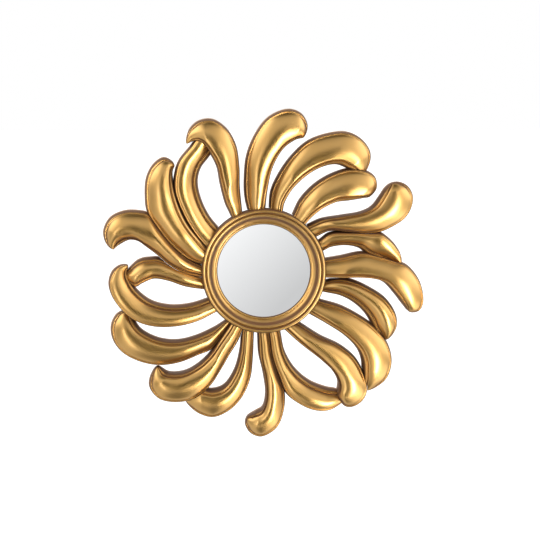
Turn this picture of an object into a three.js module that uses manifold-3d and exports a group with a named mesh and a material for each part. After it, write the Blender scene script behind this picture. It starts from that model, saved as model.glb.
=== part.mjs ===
// A small round convex mirror in a gilt frame of twenty swirling plumes.
//
// Millimetres, +Z up, the glass looks along -Y. The origin is the middle of
// the backing board's rear face. "Depth" below is the distance in front of
// that face, so a depth d lies at y = -d.
import * as THREE from 'three';
import Module from 'manifold-3d';

const wasm = await Module();
wasm.setup();

// ---------- Driving dimensions ----------

const clearance = 0.3;            // between pieces that rest on each other

// Convex glass
const glassDiameter = 100;
const glassThickness = 2.5;
const domeRadius = 200;           // radius of the glass's spherical front

// Bezel ring, from the sight edge outwards
const lipOverlap = 2.7;           // of the bezel's lip over the rim of the glass
const lipThickness = 2;
const bezelWidth = 14.6;          // from the sight edge to the outside
const bezelDepth = 11.4;          // from the plume roots to its highest bead
const bezelFlare = 1;             // its outer wall leans out by this much towards the back
const rabbetWall = 1.7;           // between the glass and the plume roots
const innerBeadWidth = 2.4;
const middleBeadWidth = 2.8;
const outerBeadWidth = 3.4;
const beadGroove = 0.8;           // width and depth of the grooves beside the beads

// Backing board, carrier ring and gasket
const boardThickness = 3;
const boardInset = 6.5;           // of the board's edge from the carrier's
const carrierThickness = 6;
const carrierLedge = 7;           // of the carrier under the rim of the glass
const gasketThickness = 1.3;
const gasketWidth = 5.5;

// Plume roots, lapped onto the carrier under the bezel
const rootTongue = 5;             // thickness of the root's lap
const outlineBezelRadius = 61.9;  // the bezel that the plume outlines are drawn around

// Plume section: a pillow between a fine rim and a raised bead
const plumeDepth = 17;            // height of the edges above the back, at mid length
const rootDrop = 3;               // the edges are this much lower at the bezel
const tipDrop = 4;                // and this much lower at the tip
const layerStep = 1.5;            // a plume that laps over its neighbour is this much prouder
const pillowRise = 7;             // highest rise of the crest above the edges
const pillowSlope = 0.24;         // rise of a narrow pillow over its width
const wallDraft = 2.5;            // lean of the side walls
const rimWidth = 1.1;
const beadWidth = 2.4;
const beadHeight = 0.5;
const grooveDepth = 1.1;
const edgeRound = 1.2;            // height of the rounded top of the walls
const fullDetailWidth = 20;       // narrower stretches have smaller rims and beads
const lapGap = 0.35;              // between two plumes that lap

// Screws, hanger and pads
const boardScrews = 4;
const screwShank = 3;
const screwHead = 6.4;
const screwHeadHeight = 1.6;
const boardScrewLength = 7.5;     // under the head
const hangerScrewLength = 8;
const strapWidth = 12;
const strapLength = 12.5;         // from the end of the strap to the curl
const strapThickness = 1.2;
const wireDiameter = 2.5;
const ringWidth = 25;             // D-ring, over the wire
const ringHeight = 24;
const hangerScrewDrop = 8.8;      // from the D-ring's bar down to the screw
const padDiameter = 12;
const padHeight = 6;

// Counts for the facets
const roundSegments = 48;
const smallSegments = 12;
const plumeStations = 20;

// ---------- Sizes that follow ----------

const glassRadius = glassDiameter / 2;
const rabbetRadius = glassRadius + clearance;
const sightRadius = glassRadius - lipOverlap;
const bezelRadius = sightRadius + bezelWidth;
const rootInnerRadius = rabbetRadius + rabbetWall + clearance;
const carrierRadius = bezelRadius + bezelFlare;
const carrierBoreRadius = glassRadius - carrierLedge;
const boardRadius = carrierRadius - boardInset;
const carrierBack = boardThickness + clearance;
const carrierFront = carrierBack + carrierThickness;
const tongueBack = carrierFront + clearance;
const tongueFront = tongueBack + rootTongue;
const bezelSeat = tongueFront + clearance;
const bezelTop = bezelSeat + bezelDepth;
const bezelShoulder = bezelTop - 3 * beadGroove;   // top of its outer wall
const glassRimBack = carrierFront + gasketThickness + 2 * clearance;
const domeCentre = glassRimBack + glassThickness - Math.sqrt(domeRadius ** 2 - glassRadius ** 2);

// ---------- Plumes ----------

// Twenty plumes, clockwise from the top as seen from the front. Each edge is
// listed from the bezel outwards as [x, z]; both edges end at the tip. Around
// another bezel than the drawn one, every point moves straight out or in with
// it. The outer edge is the convex one. Where a plume passes under a neighbour, its
// edge runs on under it. The higher layer of two neighbours keeps its full
// outline and the lower one is scribed to it. The crest is placed as a share
// of the way from the outer edge to the inner one.
const plumes = [
  {
    outer: [[-16, 58.5], [-19.5, 75], [-20, 92], [-17.5, 116.5], [-8.5, 138.5], [5.5, 155.5],
      [25.5, 163], [39, 158], [45, 145.5]],
    inner: [[2, 59], [4.5, 81], [9.5, 103], [20.5, 122.5], [33, 131.5]],
    tip: [40, 134], layer: 2, crest: 0.62,
  },
  {
    outer: [[5, 59.5], [6.5, 79], [11.5, 92], [25, 113], [43.5, 130.5], [64, 138.5],
      [84.5, 140], [99.5, 132.5], [108.5, 119.5], [107.5, 106.5]],
    inner: [[20, 59.5], [21.5, 67], [29, 80.5], [42.5, 94], [58.5, 103.5], [73.5, 106.5],
      [84.5, 102.5]],
    tip: [98.5, 96], layer: 1, crest: 0.76,
  },
  {
    outer: [[28.5, 56.5], [36.5, 72.5], [51.5, 88], [69.5, 98.5], [87.5, 103.5], [104, 101],
      [113.5, 94], [115, 84]],
    inner: [[43.5, 46.5], [48, 52], [58.5, 61], [73, 68], [87.5, 70], [97.5, 72]],
    tip: [106.5, 74.5], layer: 3, crest: 0.76,
  },
  {
    outer: [[53.5, 33], [67.5, 39], [86.5, 38], [107.5, 36.5], [120, 38.5], [131, 43.5],
      [144, 52.5], [151, 64.5], [152, 75], [147, 84.5], [138.5, 89]],
    inner: [[44, 46.5], [57.5, 52.5], [78, 56], [98, 59.5], [109, 65], [117.5, 76],
      [123, 84]],
    tip: [130, 88.5], layer: 2, crest: 0.66,
  },
  {
    outer: [[56, 31], [67, 38.5], [87.5, 39.5], [107.5, 39], [118.5, 38.5], [125, 34.5],
      [134, 25.5], [140, 14]],
    inner: [[62, 19.5], [68, 22.5], [83, 24.5], [96, 22], [105.5, 15], [118, 10],
      [129, 6]],
    tip: [138, 3], layer: 1, crest: 0.3,
  },
  {
    outer: [[63, 12.5], [78, 15], [100, 19], [119, 15], [134, 10], [146, 5],
      [157.5, -8.5], [162.5, -22.5], [163, -33.5], [159.5, -41], [153.5, -43]],
    inner: [[64, -8.5], [78.5, -8.5], [96, -8], [110, -9], [121, -12.5], [132.5, -24.5],
      [141, -35.5]],
    tip: [147, -42], layer: 3, crest: 0.8,
  },
  {
    outer: [[64, -9.5], [77.5, -7], [90.5, -9.5], [108, -17.5], [124, -28.5], [134, -43],
      [136.5, -54.5], [133, -63.5]],
    inner: [[61.5, -23], [79, -27], [92.5, -34.5], [102, -43.5], [107, -51], [110.5, -59.5],
      [117, -68.5]],
    tip: [124.5, -70.5], layer: 1, crest: 0.44,
  },
  {
    outer: [[59.5, -30], [78, -35.5], [98, -46], [112.5, -56.5], [124, -70], [130, -84],
      [131, -96.5], [126, -110.5], [116, -119]],
    inner: [[48, -46], [64.5, -55.5], [82, -67], [94.5, -80], [99, -91], [100, -103],
      [100.5, -115.5]],
    tip: [104, -122], layer: 2, crest: 0.8,
  },
  {
    outer: [[39.5, -54.5], [57.5, -66], [78, -76], [93, -88.5], [102, -104.5],
      [106, -122], [101.5, -133], [91, -140], [82.5, -139.5]],
    inner: [[23.5, -63], [37.5, -75.5], [56, -89.5], [68.5, -101], [75, -112.5]],
    tip: [74.5, -126.5], layer: 3, crest: 0.62,
  },
  {
    outer: [[5, -67], [8, -88.5], [15.5, -110.5], [22.5, -126], [33.5, -135.5],
      [48.5, -142.5], [62, -144], [72.5, -140.5]],
    inner: [[18, -65], [21.5, -81.5], [31.5, -99], [46.5, -112], [63.5, -119], [74.5, -121.5]],
    tip: [82.5, -129.5], layer: 2, crest: 0.4,
  },
  {
    outer: [[7, -67], [10.5, -88], [17, -110.5], [22, -125.5], [21, -144], [14.5, -160],
      [2.5, -169], [-5.5, -170.5], [-14, -166.5], [-19, -157]],
    inner: [[-6.5, -66], [-5.5, -84.5], [-1, -104.5], [1.5, -125], [-1.5, -138.5],
      [-8.5, -143]],
    tip: [-17, -149], layer: 1, crest: 0.62,
  },
  {
    outer: [[-9.5, -66], [-10.5, -89.5], [-13, -110.5], [-21, -129], [-34.5, -143],
      [-51.5, -150], [-66.5, -146], [-75.5, -138.5]],
    inner: [[-23, -64], [-24.5, -80], [-30, -100.5], [-40.5, -116], [-52, -120],
      [-65.5, -118.5]],
    tip: [-79.5, -129.5], layer: 2, crest: 0.7,
  },
  {
    outer: [[-22, -64], [-25, -71.5], [-34.5, -87], [-44.5, -103.5], [-54.5, -118],
      [-72, -131], [-92, -134], [-108.5, -129.5], [-116.5, -117.5], [-114, -104.5]],
    inner: [[-37, -56.5], [-44, -67], [-53.5, -81.5], [-65, -93], [-80, -101.5],
      [-96, -102.5]],
    tip: [-107.5, -97], layer: 3, crest: 0.6,
  },
  {
    outer: [[-36, -57], [-45, -71], [-53.5, -81.5], [-66, -86.5], [-86, -94],
      [-106.5, -96.5], [-126.5, -92.5], [-144, -83], [-153.5, -69], [-154.5, -54],
      [-148, -43]],
    inner: [[-41.5, -52], [-49.5, -57], [-68, -65.5], [-87, -70], [-106, -68],
      [-123.5, -59], [-130.5, -49.5]],
    tip: [-137, -40], layer: 1, crest: 0.66,
  },
  {
    outer: [[-49.5, -43.5], [-65.5, -51.5], [-86, -56.5], [-109, -57], [-127.5, -52],
      [-142.5, -41.5], [-153.5, -26.5], [-157, -12.5], [-153, 0], [-144.5, 6]],
    inner: [[-56, -27.5], [-74, -33], [-94, -34.5], [-113, -30], [-127, -19.5],
      [-133, -11], [-137, -2]],
    tip: [-137, 5.5], layer: 3, crest: 0.35,
  },
  {
    outer: [[-61, -5], [-74.5, 0], [-89.5, 7], [-106, 14], [-114.5, 14], [-122.5, 13],
      [-130, 9]],
    inner: [[-59.5, -20], [-79, -17], [-97, -11], [-111, -9], [-122.5, -13.5],
      [-129.5, -17]],
    tip: [-140.5, -6], layer: 1, crest: 0.62,
  },
  {
    outer: [[-60, 5], [-75.5, 13], [-92.5, 28.5], [-107, 46.5], [-117, 59], [-124.5, 61],
      [-140, 61], [-155, 54], [-162, 40], [-159, 27]],
    inner: [[-60.5, -7.5], [-74, -5.5], [-92, 2.5], [-106, 14], [-116.5, 22.5],
      [-126, 29.5], [-135.5, 30.5], [-146.5, 25]],
    tip: [-151.5, 22], layer: 2, crest: 0.52,
  },
  {
    outer: [[-59.5, 4], [-77, 10.5], [-96, 27], [-109, 44], [-118, 59.5],
      [-120, 75.5], [-118.5, 94], [-111.5, 107.5], [-101, 114.5], [-92.5, 111]],
    inner: [[-55.5, 23], [-62, 29.5], [-78, 48.5], [-89.5, 71.5], [-94, 89], [-93, 100]],
    tip: [-89.5, 106], layer: 3, crest: 0.63,
  },
  {
    outer: [[-55, 23], [-67.5, 38], [-83, 61.5], [-91, 81], [-90.5, 96], [-86, 111],
      [-74.5, 125.5]],
    inner: [[-44, 42.5], [-54.5, 55.5], [-63, 73.5], [-66, 90], [-63, 103],
      [-53.5, 116]],
    tip: [-61.5, 132.5], layer: 1, crest: 0.28,
  },
  {
    outer: [[-21, 57.5], [-23.5, 84.5], [-24, 105.5], [-27.5, 127], [-37, 143.5], [-51.5, 153],
      [-66, 151], [-75.5, 141.5]],
    inner: [[-32.5, 53], [-35, 58.5], [-39, 67], [-44.5, 88], [-47.5, 104], [-53.5, 116.5],
      [-60.5, 127], [-69.5, 130]],
    tip: [-77.5, 128], layer: 3, crest: 0.73,
  },
];

// Pads on the backs of four plumes, counted from 1, at a share of their length.
const pads = [
  { name: 'bumper_pad_upper_right', plume: 3, along: 0.66 },
  { name: 'bumper_pad_lower_right', plume: 8, along: 0.66 },
  { name: 'bumper_pad_lower_left', plume: 13, along: 0.66 },
  { name: 'bumper_pad_upper_left', plume: 18, along: 0.66 },
];

// ---------- Materials ----------

const giltResin = new THREE.MeshStandardMaterial({
  color: 0xc9a050, roughness: 0.32, metalness: 1,
});
const mirrorGlass = new THREE.MeshStandardMaterial({
  color: 0xe8eaec, roughness: 0.03, metalness: 1,
});
const fibreboard = new THREE.MeshStandardMaterial({ color: 0x6b4a30, roughness: 0.85 });
const plywood = new THREE.MeshStandardMaterial({ color: 0xc29a68, roughness: 0.75 });
const foam = new THREE.MeshStandardMaterial({ color: 0x3a3a3c, roughness: 0.95 });
const zincSteel = new THREE.MeshStandardMaterial({
  color: 0xb9bcc0, roughness: 0.35, metalness: 1,
});
const rubber = new THREE.MeshStandardMaterial({ color: 0x2a2a2b, roughness: 0.9 });

// ---------- Geometry helpers ----------

function signedVolume(positions, triangles) {
  const [a, b, c] = [new THREE.Vector3(), new THREE.Vector3(), new THREE.Vector3()];
  let volume = 0;
  for (let i = 0; i < triangles.length; i += 3) {
    a.fromArray(positions, 3 * triangles[i]);
    b.fromArray(positions, 3 * triangles[i + 1]);
    c.fromArray(positions, 3 * triangles[i + 2]);
    volume += a.dot(b.cross(c)) / 6;
  }
  return volume;
}

// A closed skin over rings of points. Open ends are capped; a ring of rings
// joins its last ring to its first.
function loft(rings, joinEnds = false) {
  const count = rings[0].length;
  const positions = rings.flat().flatMap((point) => point.toArray());
  const triangles = [];
  const bands = joinEnds ? rings.length : rings.length - 1;
  for (let band = 0; band < bands; band += 1) {
    const here = band * count;
    const there = ((band + 1) % rings.length) * count;
    for (let i = 0; i < count; i += 1) {
      const next = (i + 1) % count;
      triangles.push(here + i, here + next, there + next, here + i, there + next, there + i);
    }
  }
  if (!joinEnds) {
    triangles.push(...cap(rings[0], 0, false));
    triangles.push(...cap(rings.at(-1), (rings.length - 1) * count, true));
  }
  if (signedVolume(positions, triangles) < 0) {
    triangles.reverse();
  }
  const geometry = new THREE.BufferGeometry();
  geometry.setAttribute('position', new THREE.Float32BufferAttribute(positions, 3));
  geometry.setIndex(triangles);
  return geometry;
}

// Triangles over one flat ring, numbered from its first point and wound as
// the ring is, or the other way round.
function cap(ring, first, asRing) {
  const across = ring.at(-1).clone().sub(ring[0]).normalize();
  const outline = ring.map((point) => {
    const offset = point.clone().sub(ring[0]);
    return new THREE.Vector2(offset.dot(across), -offset.y);
  });
  const { area, triangulateShape } = THREE.ShapeUtils;
  const ringArea = area(outline);
  return triangulateShape(outline, []).flatMap(([a, b, c]) => {
    const woundAsRing = area([outline[a], outline[b], outline[c]]) * ringArea > 0;
    return woundAsRing === asRing ? [first + a, first + b, first + c]
      : [first + a, first + c, first + b];
  });
}

// A closed geometry as a solid that can be cut and joined, and back again.
function toSolid(geometry) {
  const merged = new Map();
  const vertices = [];
  const position = geometry.getAttribute('position');
  const corner = (i) => {
    const point = [position.getX(i), position.getY(i), position.getZ(i)].map(Math.fround);
    const key = point.map((value) => Math.round(value * 1e4)).join();
    if (!merged.has(key)) {
      merged.set(key, merged.size);
      vertices.push(...point);
    }
    return merged.get(key);
  };
  const index = geometry.index ? [...geometry.index.array] : [...position.array.keys()]
    .slice(0, position.count);
  const triangles = [];
  for (let i = 0; i < index.length; i += 3) {
    const [a, b, c] = [corner(index[i]), corner(index[i + 1]), corner(index[i + 2])];
    if (a !== b && b !== c && c !== a) {
      triangles.push(a, b, c);
    }
  }
  return new wasm.Manifold(new wasm.Mesh({
    numProp: 3,
    vertProperties: new Float32Array(vertices),
    triVerts: new Uint32Array(triangles),
  }));
}

function toGeometry(solid) {
  const mesh = solid.getMesh();
  const geometry = new THREE.BufferGeometry();
  geometry.setAttribute('position', new THREE.Float32BufferAttribute(mesh.vertProperties, 3));
  geometry.setIndex([...mesh.triVerts]);
  return geometry;
}

// A turned piece about the Y axis from a closed outline of [radius, depth] points.
function turned(outline, segments = roundSegments) {
  const points = outline.map(([radius, depth]) => new THREE.Vector2(radius, -depth));
  const onAxis = outline[0][0] === 0 && outline.at(-1)[0] === 0;
  const geometry = new THREE.LatheGeometry(onAxis ? points : [...points, points[0]], segments);
  const clean = toSolid(geometry);
  return clean.volume() < 0 ? toSolid(flipped(geometry)) : clean;
}

function flipped(geometry) {
  geometry.setIndex([...geometry.index.array].reverse());
  return geometry;
}

// ---------- Plume shape ----------

// Where an edge of a plume starts under the bezel, on along its own line.
function rootPoint(edge) {
  const inward = edge[0].clone().sub(edge[1]).normalize();
  const steepness = -inward.dot(edge[0].clone().normalize());
  const reach = (edge[0].length() - rootInnerRadius + clearance) / Math.max(steepness, 0.5);
  const leastReach = (bezelRadius - rootInnerRadius) / 2;
  return edge[0].clone().addScaledVector(inward, Math.max(reach, leastReach));
}

// The outer and the inner edge as dense polylines from the root to the tip,
// parted at the tip of one smooth curve that runs round the whole plume.
function plumeEdges(plume) {
  const [outer, [tip], inner] = [plume.outer, [plume.tip], plume.inner]
    .map((points) => points.map(([x, z]) => {
      const point = new THREE.Vector3(x, 0, z);
      return point.setLength(point.length() + bezelRadius - outlineBezelRadius);
    }));
  const around = new THREE.CatmullRomCurve3(
    [rootPoint(outer), ...outer, tip, ...inner.toReversed(), rootPoint(inner)],
    false,
    'centripetal',
  );
  const steps = 24;
  const spans = plume.outer.length + plume.inner.length + 2;
  const dense = around.getPoints(steps * spans);
  const turn = steps * (plume.outer.length + 1);
  return [dense.slice(0, turn + 1), dense.slice(turn).reverse()];
}

// The point at a share of a polyline's length.
function pointAlong(line, share) {
  const lengths = [0];
  line.slice(1).forEach((point, i) => lengths.push(lengths[i] + point.distanceTo(line[i])));
  const wanted = share * lengths.at(-1);
  const next = Math.max(1, lengths.findIndex((length) => length >= wanted));
  const part = (wanted - lengths[next - 1]) / (lengths[next] - lengths[next - 1]);
  return line[next - 1].clone().lerp(line[next], part);
}

// Smooth step from 0 to 1 as value goes from start to end.
function ease(value, start, end) {
  const share = Math.min(Math.max((value - start) / (end - start), 0), 1);
  return share * share * (3 - 2 * share);
}

// The section across a plume as [distance from the outer edge, depth] points.
// Its front falls away on both sides of the crest, furthest to the edge that
// lies furthest from it.
function plumeSection(width, along, plume) {
  const detail = Math.min(1, width / fullDetailWidth);
  const draft = wallDraft * detail;
  const bead = beadWidth * detail;
  const groove = grooveDepth * detail;
  const edge = plumeDepth + plume.layer * layerStep
    - rootDrop * (1 - ease(along, 0.05, 0.35)) - tipDrop * ease(along, 0.65, 1);
  const rise = Math.min(pillowRise, pillowSlope * width);
  const from = draft + rimWidth * detail;
  const to = width - draft - bead;
  const { crest } = plume;
  const front = (share) => {
    const fall = Math.abs(share - crest) / Math.max(crest, 1 - crest);
    return [from + (to - from) * share, edge + rise * (1 - fall ** 2)];
  };
  const [low, high] = [front(0)[1], front(1)[1]];
  return [
    [0, 0],
    [draft * 0.8, low - edgeRound],
    [draft + (from - draft) * 0.4, low],
    [from, low - groove * 0.3],
    front(crest * 0.35),
    front(crest * 0.7),
    front(crest),
    front(crest + (1 - crest) * 0.5),
    [to, high - groove],
    [to + bead * 0.5, high + beadHeight * detail],
    [width - draft * 0.8, high - edgeRound],
    [width, 0],
  ];
}

// Places along a plume, closer together where the tip rounds over.
const lastStationShare = 0.995;
const stations = Array.from({ length: plumeStations }, (_, i) => (
  lastStationShare * (1 - (1 - i / (plumeStations - 1)) ** 1.6)
));

// Rings of points for a plume, from an outline made for each width.
function plumeRings(plume, outlineAt, spread) {
  const [outer, inner] = plumeEdges(plume);
  return stations.map((along) => {
    const start = pointAlong(outer, along);
    const across = pointAlong(inner, along).sub(start);
    const width = across.length() + 2 * spread;
    across.normalize();
    return outlineAt(width, along).map(([distance, depth]) => (
      start.clone().addScaledVector(across, distance - spread).setY(-depth)
    ));
  });
}

function plumeSolid(plume) {
  return toSolid(loft(plumeRings(plume, (width, along) => plumeSection(width, along, plume), 0)));
}

// What a plume takes out of a lower neighbour: its own outline with a gap all
// round, carried on forwards past every crest.
function plumeCutter(plume) {
  const beyond = plumeDepth + pillowRise + 10 * layerStep;
  const rings = plumeRings(plume, (width, along) => {
    const section = plumeSection(width, along, plume);
    const [outerWall, rim] = section.slice(1, 3);
    const [bead, innerWall] = section.slice(-3, -1);
    return [[0, -1], outerWall, rim, [rim[0], beyond], [bead[0], beyond], bead, innerWall,
      [width, -1]];
  }, lapGap);
  const last = rings.at(-1);
  const onward = last[0].clone().sub(rings.at(-2)[0]).add(last.at(-1)).sub(rings.at(-2).at(-1));
  onward.setY(0).setLength(lapGap);
  last.forEach((point) => point.add(onward));
  return toSolid(loft(rings));
}

// The space that the carrier and the bezel take out of the plume roots.
function rootSeat() {
  const beyond = 4 * plumeDepth;
  return turned([
    [0, -1],
    [carrierRadius + clearance, -1],
    [carrierRadius + clearance, tongueBack],
    [rootInnerRadius, tongueBack],
    [rootInnerRadius, tongueFront],
    [bezelRadius + bezelFlare + clearance, tongueFront],
    [bezelRadius + clearance, bezelShoulder],
    [bezelRadius + clearance, beyond],
    [0, beyond],
  ], 2 * roundSegments);
}

function plumeNumber(i) {
  return `plume_${String(i + 1).padStart(2, '0')}`;
}

function makePlumes() {
  const seat = rootSeat();
  const cutters = plumes.map(plumeCutter);
  return plumes.map((plume, i) => {
    const neighbours = [(i + 1) % plumes.length, (i + plumes.length - 1) % plumes.length];
    const body = neighbours
      .filter((j) => plumes[j].layer > plume.layer
        || (plumes[j].layer === plume.layer && j > i))
      .reduce((rest, j) => rest.subtract(cutters[j]), plumeSolid(plume).subtract(seat));
    return [plumeNumber(i), toGeometry(body), giltResin];
  });
}

// ---------- Bezel, glass and what holds them ----------

function bezelRing() {
  const middleBead = bezelRadius - outerBeadWidth - beadGroove - middleBeadWidth;
  const coveOuter = middleBead - beadGroove / 2;
  const coveInner = sightRadius + innerBeadWidth + beadGroove / 2;
  const lipBack = domeCentre + Math.sqrt(domeRadius ** 2 - sightRadius ** 2) + clearance;
  const lipFront = lipBack + lipThickness;
  const coveTop = bezelTop - 3 * beadGroove;
  const mix = (share) => lipFront + (coveTop - lipFront) * share;
  return turned([
    [sightRadius, lipBack],
    [sightRadius, lipFront - innerBeadWidth / 3],
    [sightRadius + innerBeadWidth / 2, lipFront],
    [sightRadius + innerBeadWidth, lipFront - beadGroove],
    [coveInner, mix(0.02)],
    [coveInner + (coveOuter - coveInner) * 0.5, mix(0.3)],
    [coveOuter, mix(0.9)],
    [middleBead, coveTop - beadGroove / 2],
    [middleBead + middleBeadWidth / 2, coveTop + beadGroove],
    [middleBead + middleBeadWidth, coveTop],
    [bezelRadius - outerBeadWidth - beadGroove / 2, coveTop - beadGroove],
    [bezelRadius - outerBeadWidth, bezelTop - beadGroove],
    [bezelRadius - outerBeadWidth / 2, bezelTop],
    [bezelRadius - outerBeadWidth / 6, bezelTop - beadGroove],
    [bezelRadius, bezelShoulder],
    [bezelRadius + bezelFlare, bezelSeat],
    [rootInnerRadius - clearance, bezelSeat],
    [rootInnerRadius - clearance, carrierFront + clearance],
    [rabbetRadius, carrierFront + clearance],
    [rabbetRadius, lipBack],
  ]);
}

function convexGlass() {
  const rings = 4;
  const radii = Array.from({ length: rings + 1 }, (_, i) => glassRadius * (i / rings));
  const front = radii.map((r) => [r, domeCentre + Math.sqrt(domeRadius ** 2 - r * r)]);
  const back = front.map(([r, depth]) => [r, depth - glassThickness]).reverse();
  return turned([...front, ...back]);
}

function gasketRing() {
  const back = carrierFront + clearance;
  return turned([
    [glassRadius - gasketWidth, back],
    [glassRadius, back],
    [glassRadius, back + gasketThickness],
    [glassRadius - gasketWidth, back + gasketThickness],
  ]);
}

// A small round cutter or shank about a place on the back, between two depths.
function post(radius, at, from, to) {
  return turned([[0, from], [radius, from], [radius, to], [0, to]], smallSegments)
    .translate([at[0], 0, at[1]]);
}

const screwCircle = (carrierBoreRadius + boardRadius) / 2;
const screwPlaces = Array.from({ length: boardScrews }, (_, i) => {
  const angle = (2 * Math.PI * (i + 0.5)) / boardScrews;
  return [screwCircle * Math.sin(angle), screwCircle * Math.cos(angle)];
});
const hangerScrewPlace = [0, screwCircle];
const barHeight = screwCircle + hangerScrewDrop;

function drilled(solid, depth) {
  const hole = screwShank / 2 + clearance;
  return [...screwPlaces, hangerScrewPlace].reduce(
    (rest, place) => rest.subtract(post(hole, place, -1, depth)),
    solid,
  );
}

function backingBoard() {
  const disc = turned([[0, 0], [boardRadius, 0], [boardRadius, boardThickness],
    [0, boardThickness]]);
  return drilled(disc, boardThickness + 1);
}

function carrierRing() {
  const ring = turned([
    [carrierBoreRadius, carrierBack],
    [carrierRadius, carrierBack],
    [carrierRadius, carrierFront],
    [carrierBoreRadius, carrierFront],
  ]);
  const holeDepth = Math.max(boardScrewLength, hangerScrewLength) + clearance;
  return drilled(ring, holeDepth);
}

// A pan-head screw that points forwards from a face at headDepth.
function screw(place, headDepth, length) {
  const head = screwHead / 2;
  const shank = screwShank / 2;
  return turned([
    [0, headDepth - screwHeadHeight],
    [head * 0.7, headDepth - screwHeadHeight],
    [head, headDepth - screwHeadHeight * 0.4],
    [head, headDepth],
    [shank, headDepth],
    [shank, headDepth + length - screwShank],
    [0, headDepth + length],
  ], smallSegments).translate([place[0], 0, place[1]]);
}

// ---------- Hanger ----------

const wireRadius = wireDiameter / 2;
const curlInner = wireRadius + clearance;
const curlOuter = curlInner + strapThickness;
const barOut = clearance + curlOuter;       // how far the D-ring's bar stands behind the board

// The strap's side outline in [z, y]: a flat leg that curls round the D-ring's bar.
function hangerStrap() {
  const curlEnd = 1.4 * Math.PI;
  const steps = 9;
  const curl = (radius, i) => {
    const angle = -Math.PI / 2 + (curlEnd * i) / steps;
    return [barHeight + radius * Math.cos(angle), barOut + radius * Math.sin(angle)];
  };
  const turns = Array.from({ length: steps + 1 }, (_, i) => i);
  const outline = [
    [barHeight - strapLength, clearance],
    ...turns.map((i) => curl(curlOuter, i)),
    ...turns.reverse().map((i) => curl(curlInner, i)),
    [barHeight - strapLength, clearance + strapThickness],
  ];
  const shape = new THREE.Shape(outline.map(([z, y]) => new THREE.Vector2(z, y)));
  const geometry = new THREE.ExtrudeGeometry(shape, { depth: strapWidth, bevelEnabled: false });
  // Shape X becomes Z, shape Y stays Y, and the strap's width lies along X.
  geometry.translate(0, 0, -strapWidth / 2);
  geometry.rotateY(-Math.PI / 2);
  const hole = post(screwShank / 2 + clearance, hangerScrewPlace, -curlOuter, clearance);
  return toSolid(geometry).subtract(hole);
}

// Points [x, z] on an elliptical arc.
function arc(centre, radii, from, to, steps) {
  return Array.from({ length: steps + 1 }, (_, i) => {
    const angle = from + ((to - from) * i) / steps;
    return [centre[0] + radii[0] * Math.cos(angle), centre[1] + radii[1] * Math.sin(angle)];
  });
}

// The D-ring hangs from its straight bar, which lies along X in the curl.
function dRing() {
  const half = ringWidth / 2 - wireRadius;
  const drop = ringHeight - wireDiameter;
  const corner = wireDiameter;
  const turn = Math.PI / 2;
  const path = [
    [0, 0],
    ...arc([half - corner, -corner], [corner, corner], turn, 0, 4),
    ...arc([0, -corner], [half, drop - corner], 0, -2 * turn, 14).slice(1, -1),
    ...arc([corner - half, -corner], [corner, corner], 2 * turn, turn, 4),
  ];
  const sides = 8;
  const rings = path.map(([x, z], i) => {
    const before = path[(i + path.length - 1) % path.length];
    const after = path[(i + 1) % path.length];
    const outward = new THREE.Vector3(before[1] - after[1], 0, after[0] - before[0]).normalize();
    return Array.from({ length: sides }, (_, k) => {
      const angle = (2 * Math.PI * (k + 0.5)) / sides;
      return new THREE.Vector3(x, barOut, barHeight + z)
        .addScaledVector(outward, wireRadius * Math.cos(angle))
        .add(new THREE.Vector3(0, wireRadius * Math.sin(angle), 0));
    });
  });
  return toSolid(loft(rings, true));
}

// A pad on the middle line of a plume's back.
function bumperPad({ plume, along }) {
  const [outer, inner] = plumeEdges(plumes[plume - 1]);
  const middle = pointAlong(outer, along).lerp(pointAlong(inner, along), 0.5);
  const radius = padDiameter / 2;
  return turned([
    [0, -clearance],
    [radius, -clearance],
    [radius, -clearance - padHeight * 0.5],
    [radius * 0.85, -clearance - padHeight * 0.85],
    [radius * 0.6, -clearance - padHeight],
    [0, -clearance - padHeight],
  ], 2 * smallSegments).translate([middle.x, 0, middle.z]);
}

// ---------- The assembly ----------

const mirror = new THREE.Group();

function place(name, geometry, material) {
  const mesh = new THREE.Mesh(geometry, material);
  mesh.name = name;
  mirror.add(mesh);
}

makePlumes().forEach((plume) => place(...plume));
place('bezel_ring', toGeometry(bezelRing()), giltResin);
place('mirror_glass', toGeometry(convexGlass()), mirrorGlass);
place('gasket_ring', toGeometry(gasketRing()), foam);
place('carrier_ring', toGeometry(carrierRing()), plywood);
place('backing_board', toGeometry(backingBoard()), fibreboard);
screwPlaces.forEach((at, i) => {
  place(`board_screw_${i + 1}`, toGeometry(screw(at, -clearance, boardScrewLength)), zincSteel);
});
place('hanger_strap', toGeometry(hangerStrap()), zincSteel);
const strapBack = -2 * clearance - strapThickness;
place('hanger_screw', toGeometry(screw(hangerScrewPlace, strapBack, hangerScrewLength)), zincSteel);
place('d_ring', toGeometry(dRing()), zincSteel);
pads.forEach((pad) => place(pad.name, toGeometry(bumperPad(pad)), rubber));

export default mirror;
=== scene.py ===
"""A small round convex mirror in a gilt frame of twenty swirling plumes.

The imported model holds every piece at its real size. This script dresses it:
smooth cast plumes and a turned bezel in satin gilt, a silvered domed glass,
and the board, screws, hanger and pads behind them.
"""
import math

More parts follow.
